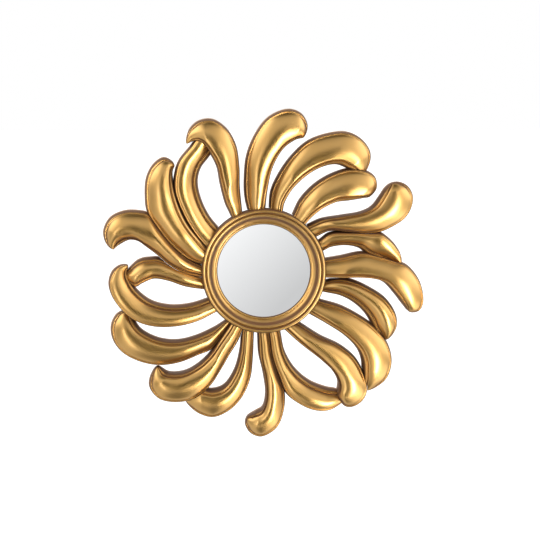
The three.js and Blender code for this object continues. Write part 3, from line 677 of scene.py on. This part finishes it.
def section_sizes(width, along, plume):
    """What the plume's section and the cutter around it share: the size of the
    detail, of draft and bead, and the height of the front at a share across."""
    detail = min(1, width / FULL_DETAIL_WIDTH)
    edge = (PLUME_DEPTH + plume["layer"] * LAYER_STEP
            - ROOT_DROP * (1 - ease(along, 0.05, 0.35)) - TIP_DROP * ease(along, 0.65, 1))
    rise = min(PILLOW_RISE, PILLOW_SLOPE * width)
    crest = plume["crest"]

    def pillow(share):
        fall = abs(share - crest) / max(crest, 1 - crest)
        return edge + rise * (1 - fall ** 2)

    return detail, WALL_DRAFT * detail, BEAD_WIDTH * detail, pillow


def plume_section(width, along, plume):
    """The section from the foot of the outer wall to the foot of the inner one,
    as (distance from the outer edge, depth) points."""
    detail, draft, bead, pillow = section_sizes(width, along, plume)
    start = draft + RIM_WIDTH * detail
    end = width - draft - bead
    low, high, groove = pillow(0), pillow(1), GROOVE_DEPTH * detail
    swell = [(start + (end - start) * share, pillow(share))
             for share in (0.08, 0.2, 0.35, 0.5, 0.65, 0.8, 0.92)]
    front = smooth_curve([
        (draft * 0.8, low - EDGE_ROUND),
        (draft + 0.1 * (start - draft), low - 0.25 * EDGE_ROUND),
        (draft + 0.5 * (start - draft), low),
        (start, low - 0.3 * groove),
        *swell,
        (end, high - groove),
        (end + bead * 0.25, high - 0.1 * groove),
        (end + bead * 0.5, high + BEAD_HEIGHT * detail),
        (end + bead * 0.8, high - 0.1 * groove),
        (end + bead, high - 0.45 * groove),
        (width - draft * 0.8, high - EDGE_ROUND),
    ], SPAN_STEPS)
    bevel = BACK_BEVEL * detail
    return np.vstack([[(bevel, 0), (bevel * 0.1, bevel)], front,
                      [(width - bevel * 0.1, bevel), (width - bevel, 0)]])


def plume_rings(plume, section_at, spread=0.0):
    """Rings of points for a plume, from a section made for each width."""
    shares = LAST_STATION * (1 - (1 - np.linspace(0, 1, STATIONS)) ** CROWDING)
    outer, inner = edge_curves(plume)
    starts, ends = along_curve(outer, shares), along_curve(inner, shares)
    rings = []
    for along, start, end in zip(shares, starts, ends):
        width = np.linalg.norm(end - start)
        across = (end - start) / width
        section = section_at(width + 2 * spread, along)
        flat = start + across * (section[:, :1] - spread)
        rings.append(np.column_stack([flat[:, 0], -section[:, 1], flat[:, 1]]))
    return rings


def plume_cutter(plume):
    """What a plume takes out of a lower neighbour: its own outline with a gap
    all round, carried on forwards past every crest."""
    beyond = PLUME_DEPTH + PILLOW_RISE + 10 * LAYER_STEP

    def outline(width, along):
        _, draft, _, pillow = section_sizes(width, along, plume)
        low, high = pillow(0), pillow(1)
        return np.array([(0, PAST_BACK), (draft * 0.8, low - EDGE_ROUND), (draft, low),
                         (draft, beyond), (width - draft, beyond), (width - draft, high),
                         (width - draft * 0.8, high - EDGE_ROUND), (width, PAST_BACK)])

    return loft("plume_cutter", plume_rings(plume, outline, LAP_GAP))


def root_seat():
    """The space that the carrier and the bezel take out of the plume roots."""
    beyond = 4 * PLUME_DEPTH
    return turned("root_seat", [
        (0, PAST_BACK), (CARRIER_RADIUS + CLEARANCE, PAST_BACK),
        (CARRIER_RADIUS + CLEARANCE, TONGUE_BACK), (ROOT_INNER_RADIUS, TONGUE_BACK),
        (ROOT_INNER_RADIUS, TONGUE_FRONT),
        (BEZEL_RADIUS + BEZEL_FLARE + CLEARANCE, TONGUE_FRONT),
        (BEZEL_RADIUS + CLEARANCE, BEZEL_SHOULDER), (BEZEL_RADIUS + CLEARANCE, beyond),
        (0, beyond),
    ])


def make_plumes():
    """The plumes, each cut to the roots' seat and to any neighbour that laps over it."""
    seat = root_seat()
    cutters = [plume_cutter(plume) for plume in PLUMES]
    for i, plume in enumerate(PLUMES):
        neighbours = [(i + 1) % len(PLUMES), (i - 1) % len(PLUMES)]
        over = [j for j in neighbours if (PLUMES[j]["layer"], j) > (plume["layer"], i)]
        rings = plume_rings(plume, lambda width, along: plume_section(width, along, plume))
        made = loft(f"gilt_plume_{i + 1:02d}", rings)
        cut(made, seat, *(cutters[j] for j in over))
        dress(made, GILT, "gilt_resin", f"plume_{i + 1:02d}")
    discard(seat, *cutters)


make_plumes()

# ---------- Bezel and glass ----------


def dome_depth(radius):
    """Depth of the glass's domed face at this radius."""
    return GLASS_TOP - DOME_RADIUS + math.sqrt(DOME_RADIUS ** 2 - radius ** 2)


def bezel_outline():
    """Outer bead, groove, middle bead, cove and lip, over the rabbet for the glass."""
    middle = BEZEL_RADIUS - OUTER_BEAD - BEAD_GROOVE - MIDDLE_BEAD
    outer = BEZEL_RADIUS - OUTER_BEAD
    cove_outer = middle - BEAD_GROOVE / 2
    cove_inner = SIGHT_RADIUS + INNER_BEAD + BEAD_GROOVE / 2
    cove = cove_outer - cove_inner
    lip_back = dome_depth(SIGHT_RADIUS) + CLEARANCE
    lip_front = lip_back + LIP_THICKNESS
    cove_rise = BEZEL_SHOULDER - lip_front
    front = smooth_curve([
        (SIGHT_RADIUS, lip_back + 0.3 * LIP_THICKNESS),
        (SIGHT_RADIUS, lip_front - INNER_BEAD / 3),
        (SIGHT_RADIUS + 0.45 * INNER_BEAD, lip_front),
        (SIGHT_RADIUS + 0.85 * INNER_BEAD, lip_front - 0.6 * BEAD_GROOVE),
        (cove_inner, lip_front - 0.4 * BEAD_GROOVE),
        (cove_inner + cove * 0.3, lip_front + cove_rise * 0.12),
        (cove_inner + cove * 0.55, lip_front + cove_rise * 0.33),
        (cove_inner + cove * 0.8, lip_front + cove_rise * 0.62),
        (cove_outer, lip_front + cove_rise * 0.9),
        (middle, BEZEL_SHOULDER - 0.3 * BEAD_GROOVE),
        (middle + 0.25 * MIDDLE_BEAD, BEZEL_SHOULDER + 0.7 * BEAD_GROOVE),
        (middle + 0.5 * MIDDLE_BEAD, BEZEL_SHOULDER + BEAD_GROOVE),
        (middle + 0.8 * MIDDLE_BEAD, BEZEL_SHOULDER + 0.6 * BEAD_GROOVE),
        (middle + MIDDLE_BEAD, BEZEL_SHOULDER - 0.4 * BEAD_GROOVE),
        (outer - BEAD_GROOVE / 2, BEZEL_SHOULDER - 0.8 * BEAD_GROOVE),
        (outer, BEZEL_SHOULDER + 0.3 * BEAD_GROOVE),
        (outer + 0.2 * OUTER_BEAD, BEZEL_TOP - 0.6 * BEAD_GROOVE),
        (outer + 0.5 * OUTER_BEAD, BEZEL_TOP),
        (outer + 0.8 * OUTER_BEAD, BEZEL_TOP - 0.7 * BEAD_GROOVE),
        (BEZEL_RADIUS, BEZEL_SHOULDER),
    ], SPAN_STEPS)
    return [(SIGHT_RADIUS, lip_back), *front,
            (BEZEL_RADIUS + BEZEL_FLARE, BEZEL_SEAT),
            (ROOT_INNER_RADIUS - CLEARANCE, BEZEL_SEAT),
            (ROOT_INNER_RADIUS - CLEARANCE, BEZEL_BACK), (RABBET_RADIUS, BEZEL_BACK),
            (RABBET_RADIUS, lip_back)]


def glass_outline():
    """The same dome in front and behind, with an eased rim."""
    radii = np.linspace(0, GLASS_RADIUS - EASED_EDGE, 24)
    front = [(r, dome_depth(r)) for r in radii]
    back = [(r, dome_depth(r) - GLASS_THICKNESS) for r in radii[::-1]]
    rim = dome_depth(GLASS_RADIUS)
    return [*front, (GLASS_RADIUS, rim - EASED_EDGE),
            (GLASS_RADIUS, rim - GLASS_THICKNESS + EASED_EDGE), *back]


# On the bezel, the gilt's brown on steep faces paints shade into the grooves.
dress(turned("turned_gilt_bezel", bezel_outline(), GILT, ROUND_SEGMENTS),
      GILT, "gilt_resin", "bezel_ring")
dress(turned("domed_glass", glass_outline(), SILVERED, ROUND_SEGMENTS),
      SILVERED, "mirror_glass", "mirror_glass")

# ---------- Behind the glass: gasket, carrier, board and screws ----------

SCREW_HEAD = 3.2 * MM             # radius
SCREW_HEAD_HEIGHT = 1.6 * MM
SCREW_SHANK = 1.5 * MM            # radius
BOARD_SCREW_LENGTH = 7.5 * MM
HANGER_SCREW_LENGTH = 8 * MM
RECESS_LENGTH = 3.4 * MM          # of the cross in a screw's head
RECESS_WIDTH = 0.8 * MM
RECESS_DEPTH = 0.9 * MM
HOLE_RADIUS = SCREW_SHANK + CLEARANCE
HOLE_DEPTH = 8.3 * MM


def rounded_rectangle(inner, outer, back, front, bevel):
    """The outline of a turned ring or disc whose outer edges are eased."""
    return [(inner, back), (outer - bevel, back), (outer - 0.3 * bevel, back + 0.3 * bevel),
            (outer, back + bevel), (outer, front - bevel),
            (outer - 0.3 * bevel, front - 0.3 * bevel), (outer - bevel, front),
            (inner, front)]


def middle_of(node):
    low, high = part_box(node)
    return (low + high) / 2


def screw(length):
    """A pan-head cross-recess screw about the Y axis, its head's seat at y = 0."""
    dome = [(SCREW_HEAD * math.sin(a), -SCREW_HEAD_HEIGHT * (0.35 + 0.65 * math.cos(a)))
            for a in np.linspace(0, math.pi / 2, 9)]
    blank = turned("screw_blank", [
        *dome, (SCREW_HEAD, -0.1 * SCREW_HEAD_HEIGHT), (0.94 * SCREW_HEAD, 0),
        (SCREW_SHANK, 0), (SCREW_SHANK, length - 2 * SCREW_SHANK), (0, length),
    ], ZINC, 32)
    half, width = RECESS_LENGTH / 2, RECESS_WIDTH / 2
    top, floor = 1.2 * SCREW_HEAD_HEIGHT, SCREW_HEAD_HEIGHT - RECESS_DEPTH
    slots = [loft("recess", [[(-x, y, -z), (x, y, -z), (x, y, z), (-x, y, z)]
                             for y in (floor, top)])
             for x, z in ((half, width), (width, half))]
    cut(blank, *slots)
    discard(*slots)
    return blank


BOARD_SCREWS = [f"board_screw_{i}" for i in (1, 2, 3, 4)]
screw_places = [middle_of(node) for node in BOARD_SCREWS]
hanger_place = middle_of("hanger_screw")
screw_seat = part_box(BOARD_SCREWS[0])[1].y - SCREW_HEAD_HEIGHT
hanger_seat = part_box("hanger_screw")[1].y - SCREW_HEAD_HEIGHT

hole = turned("hole", [(0, PAST_BACK), (HOLE_RADIUS, PAST_BACK),
                       (HOLE_RADIUS, HOLE_DEPTH), (0, HOLE_DEPTH)], None, 24)
holes = fitted("screw_holes", [(p.x, 0, p.z) for p in [*screw_places, hanger_place]], hole)

board = turned("hardboard_back", rounded_rectangle(
    0, BOARD_RADIUS, 0, BOARD_THICKNESS, EASED_EDGE), HARDBOARD, 160)
dress(cut(board, holes), HARDBOARD, "fibreboard", "backing_board")
carrier = turned("plywood_carrier", rounded_rectangle(
    CARRIER_BORE, CARRIER_RADIUS, CARRIER_BACK, CARRIER_FRONT, EASED_EDGE), PLYWOOD)
dress(cut(carrier, holes), PLYWOOD, "plywood", "carrier_ring")
discard(holes)

dress(turned("foam_gasket", rounded_rectangle(
    gasket_high.x - GASKET_WIDTH, gasket_high.x, -gasket_high.y, -gasket_low.y, 0.3 * MM),
    FOAM, 128), FOAM, "foam", "gasket_ring")

dress(fitted("board_screws", [(p.x, screw_seat, p.z) for p in screw_places],
             screw(BOARD_SCREW_LENGTH), ZINC, most_turn=math.pi / 2, seed=3),
      ZINC, "zinc_steel", *BOARD_SCREWS)
dress(fitted("hanger_screw_pan_head", [(hanger_place.x, hanger_seat, hanger_place.z)],
             screw(HANGER_SCREW_LENGTH), ZINC, most_turn=math.pi / 2, seed=5),
      ZINC, "zinc_steel", "hanger_screw")

# ---------- Hanger and pads ----------

WIRE_RADIUS = 1.25 * MM
STRAP_THICKNESS = 1.2 * MM
STRAP_LENGTH = 12.5 * MM          # from its end to the bar
RING_WIDTH = 25 * MM              # over the wire
RING_HEIGHT = 24 * MM
RING_CORNER = 2.5 * MM            # radius of the bends at the bar's ends
CURL_ARC = 1.4 * math.pi          # how far the strap's end goes round the bar
CURL_INNER = WIRE_RADIUS + CLEARANCE
CURL_OUTER = CURL_INNER + STRAP_THICKNESS
BAR_OUT = CLEARANCE + CURL_OUTER

strap_low, strap_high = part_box("hanger_strap")
BAR_HEIGHT = strap_low.z + STRAP_LENGTH


def hanger_strap():
    """A flat steel leg whose end curls round the ring's bar."""
    turns = np.linspace(0, CURL_ARC, 40) - math.pi / 2
    side = [(BAR_HEIGHT - STRAP_LENGTH, CLEARANCE)]
    side += [(BAR_HEIGHT + CURL_OUTER * math.cos(a), BAR_OUT + CURL_OUTER * math.sin(a))
             for a in turns]
    side += [(BAR_HEIGHT + CURL_INNER * math.cos(a), BAR_OUT + CURL_INNER * math.sin(a))
             for a in turns[::-1]]
    side += [(BAR_HEIGHT - STRAP_LENGTH, CLEARANCE + STRAP_THICKNESS)]
    strap = loft("zinc_strap", [[(x, y, z) for z, y in side]
                                for x in (strap_low.x, strap_high.x)])
    drill = turned("drill", [(0, -CURL_OUTER), (HOLE_RADIUS, -CURL_OUTER),
                             (HOLE_RADIUS, CLEARANCE), (0, CLEARANCE)], None, 24)
    drill = fitted("strap_hole", [(0, 0, hanger_place.z)], drill)
    cut(strap, drill)
    discard(drill)
    return soften_edges(outward(strap), 0.2 * MM)


def ring_path():
    """The D-ring's middle line: a straight bar, small corners and a deep bow."""
    half, drop = RING_WIDTH / 2 - WIRE_RADIUS, RING_HEIGHT - 2 * WIRE_RADIUS
    right = [(half - RING_CORNER * (1 - math.sin(a)), RING_CORNER * (math.cos(a) - 1))
             for a in np.linspace(0, math.pi / 2, 12)]
    bow = [(half * math.cos(a), -RING_CORNER - (drop - RING_CORNER) * math.sin(a))
           for a in np.linspace(0, math.pi, 72)[1:-1]]
    left = [(-x, z) for x, z in right[::-1]]
    return [(x, BAR_OUT, BAR_HEIGHT + z) for x, z in [*right, *bow, *left]]


PADS = [f"bumper_pad_{place}" for place in
        ("upper_right", "lower_right", "lower_left", "upper_left")]


def bumper_pad():
    """A soft round pad about the Y axis, its glued face just off y = 0."""
    low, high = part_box(PADS[0])
    radius, height = (high.x - low.x) / 2, high.y - low.y
    flank = [(radius, -low.y - 0.5 * height), (0.97 * radius, -low.y - 0.68 * height),
             (0.87 * radius, -low.y - 0.84 * height), (0.7 * radius, -low.y - 0.96 * height),
             (0.5 * radius, -low.y - height)]
    return turned("pad", [(0, -low.y), (radius - 0.2 * MM, -low.y),
                          (radius, -low.y - 0.2 * MM), *flank, (0, -low.y - height)],
                  RUBBER, 48)


dress(hanger_strap(), ZINC, "zinc_steel", "hanger_strap")
path = ring_path()
wire = mesh_object("zinc_d_ring", path,
                   edges=[(i, (i + 1) % len(path)) for i in range(len(path))])
dress(shaped(wire, BENDING, Wire_Radius=WIRE_RADIUS, Sides=24, Finish=ZINC),
      ZINC, "zinc_steel", "d_ring", body=RING_BODY)
dress(fitted("rubber_pads", [(middle_of(pad).x, 0, middle_of(pad).z) for pad in PADS],
             bumper_pad(), RUBBER),
      RUBBER, "pad_rubber", *PADS)

# ---------- Studio ----------

CAMERA_DISTANCE = 2.2
CAMERA_AZIMUTH = -2.5
CAMERA_ELEVATION = 4.5
CAMERA_AIM = Vector((0.0057, -0.026, 0.0016))
FLOOR_DROP = 0.15                 # below the lowest plume
FLOOR_REACH = 30
PHOTO_WIDTH = 0.540               # of the photograph's frame at the mirror


def make_camera():
    """A long lens at the photograph's angle, a little above the mirror and to its left."""
    azimuth, elevation = math.radians(CAMERA_AZIMUTH), math.radians(CAMERA_ELEVATION)
    back = Vector((math.sin(azimuth) * math.cos(elevation),
                   -math.cos(azimuth) * math.cos(elevation), math.sin(elevation)))
    data = bpy.data.cameras.new("camera")
    data.lens = data.sensor_width * CAMERA_DISTANCE / PHOTO_WIDTH
    camera = bpy.data.objects.new("camera", data)
    camera.location = CAMERA_AIM + back * CAMERA_DISTANCE
    camera.rotation_mode = "QUATERNION"
    camera.rotation_quaternion = (-back).to_track_quat("-Z", "Y")
    bpy.context.scene.collection.objects.link(camera)
    bpy.context.scene.camera = camera


# What the gilt reflects, as the mirror sees the room, in degrees. Each panel has
# a middle (to the right, up), a half size, and a strength.
STUDIO_LEVEL = 0.68
SOFTBOXES = [
    ((28, -16), (8, 20), 11.0),       # beside the camera
    ((-30, -10), (6, 20), 2.4),
    ((50, 24), (20, 20), 0.2),
    ((88, 24), (36, 22), 1.2),
    ((-84, 38), (36, 24), 1.4),
    ((60, -40), (28, 20), 1.2),
]
DARK_PANELS = [
    ((0, -6), (21, 30), 1.0),         # the camera's end of the room
    ((0, 84), (200, 26), 0.9),        # ceiling
    ((0, -70), (46, 26), 0.75),       # floor
    ((-66, -4), (14, 22), 0.35),
]
PANEL_EDGE = 0.5                      # softness, as a share of the half size
WHITE = (1, 1, 1, 1)
AMBIENT = (0.85, 0.85, 0.85, 1)       # what lights the matt pieces


def panel(tree, view, middle, half_size, strength):
    """A soft-edged oval panel of the studio."""
    offset = add_node(tree, "ShaderNodeVectorMath", {0: view, 1: (*middle, 0)},
                      operation="SUBTRACT")
    scaled = add_node(tree, "ShaderNodeVectorMath",
                      {0: offset.outputs[0], 1: (1 / half_size[0], 1 / half_size[1], 0)},
                      operation="MULTIPLY")
    distance = add_node(tree, "ShaderNodeVectorMath", {0: scaled.outputs[0]},
                        operation="LENGTH")
    return add_node(tree, "ShaderNodeMapRange", {
        "Value": distance.outputs["Value"], "From Min": 1 + PANEL_EDGE,
        "From Max": 1 - PANEL_EDGE, "To Min": 0.0, "To Max": strength,
    }, interpolation_type="SMOOTHSTEP").outputs[0]


def view_angles(tree, ray):
    """How far to the right and up a ray from the mirror goes, in degrees."""
    parts = add_node(tree, "ShaderNodeSeparateXYZ", {0: ray}).outputs
    ahead = add_node(tree, "ShaderNodeMath", {0: parts["Y"], 1: -1.0}, operation="MULTIPLY")
    right = add_node(tree, "ShaderNodeMath", {0: parts["X"], 1: ahead.outputs[0]},
                     operation="ARCTAN2")
    up = add_node(tree, "ShaderNodeMath", {0: parts["Z"]}, operation="ARCSINE")
    both = add_node(tree, "ShaderNodeCombineXYZ", {0: right.outputs[0], 1: up.outputs[0]})
    return add_node(tree, "ShaderNodeVectorMath",
                    {0: both.outputs[0], "Scale": math.degrees(1)},
                    operation="SCALE").outputs[0]


def make_world():
    """White to the camera, even light on matt pieces, and softboxes in the gilt."""
    world = bpy.data.worlds.new("studio")
    world.use_nodes = True
    tree = world.node_tree
    tree.nodes.clear()
    ray = add_node(tree, "ShaderNodeTexCoord").outputs["Generated"]
    view = view_angles(tree, ray)
    level = STUDIO_LEVEL
    for softbox in SOFTBOXES:
        level = add_node(tree, "ShaderNodeMath", {0: level, 1: panel(tree, view, *softbox)},
                         operation="ADD").outputs[0]
    for dark in DARK_PANELS:
        kept = add_node(tree, "ShaderNodeMath", {0: 1.0, 1: panel(tree, view, *dark)},
                        operation="SUBTRACT")
        level = add_node(tree, "ShaderNodeMath", {0: level, 1: kept.outputs[0]},
                         operation="MULTIPLY").outputs[0]
    behind = add_node(tree, "ShaderNodeMapRange", {
        "Value": add_node(tree, "ShaderNodeSeparateXYZ", {0: ray}).outputs["Y"],
        "From Min": 0.55, "From Max": 0.8}, interpolation_type="SMOOTHSTEP")
    level = add_node(tree, "ShaderNodeMix",
                     {FACTOR: behind.outputs[0], FIRST: level, SECOND: WHITE},
                     data_type="RGBA").outputs[MIXED]
    sweep = add_node(tree, "ShaderNodeVectorMath", {0: ray, 1: (0.7, 0.0, -0.7)},
                     operation="DOT_PRODUCT")
    paper = add_node(tree, "ShaderNodeMapRange",
                     {"Value": sweep.outputs["Value"], "From Min": -0.35, "From Max": 0.45,
                      "To Min": 1.0, "To Max": 0.66})
    path = add_node(tree, "ShaderNodeLightPath").outputs
    seen = add_node(tree, "ShaderNodeMath",
                    {0: path["Is Camera Ray"], 1: path["Is Transmission Ray"]},
                    operation="MAXIMUM")
    colour = AMBIENT
    for ray_kind, shown in ((path["Is Glossy Ray"], level),
                            (path["Is Singular Ray"], paper.outputs[0]),
                            (seen.outputs[0], WHITE)):
        colour = add_node(tree, "ShaderNodeMix",
                          {FACTOR: ray_kind, FIRST: colour, SECOND: shown},
                          data_type="RGBA").outputs[MIXED]
    background = add_node(tree, "ShaderNodeBackground", {"Color": colour})
    add_node(tree, "ShaderNodeOutputWorld", {"Surface": background.outputs[0]})
    bpy.context.scene.world = world


def make_floor():
    """A pale floor that shows white where it is lit and keeps the mirror's shadow."""
    material, tree, _ = new_material("pale_floor")
    paint = add_node(tree, "ShaderNodeBsdfPrincipled",
                     {"Base Color": (0.9, 0.9, 0.9, 1), "Roughness": 0.9})
    seen = add_node(tree, "ShaderNodeLightPath").outputs["Is Camera Ray"]
    glow = add_node(tree, "ShaderNodeEmission", {"Color": (0.5, 0.5, 0.5, 1), "Strength": seen})
    both = add_node(tree, "ShaderNodeAddShader", {0: paint.outputs[0], 1: glow.outputs[0]})
    add_node(tree, "ShaderNodeOutputMaterial", {"Surface": both.outputs[0]})
    height, far = cad_bounds[0].z - FLOOR_DROP, FLOOR_REACH
    corners = [(x, y, height) for x, y in ((-far, -far), (far, -far), (far, far), (-far, far))]
    floor = mesh_object("floor", corners, [(0, 1, 2, 3)])
    floor.data.materials.append(material)
    floor.visible_glossy = False


def make_lamp(name, where, size, watts):
    """A round lamp that points at the mirror and isn't seen in it."""
    data = bpy.data.lights.new(name, "AREA")
    data.shape = "DISK"
    data.size = size
    data.energy = watts
    lamp = bpy.data.objects.new(name, data)
    lamp.location = where
    lamp.rotation_mode = "QUATERNION"
    lamp.rotation_quaternion = (-Vector(where)).to_track_quat("-Z", "Y")
    lamp.visible_glossy = False
    bpy.context.scene.collection.objects.link(lamp)


make_camera()
make_world()
make_floor()
make_lamp("key_softbox", where=(-1.0, -1.6, 1.6), size=1.2, watts=18)

bpy.context.scene.view_settings.view_transform = "Standard"
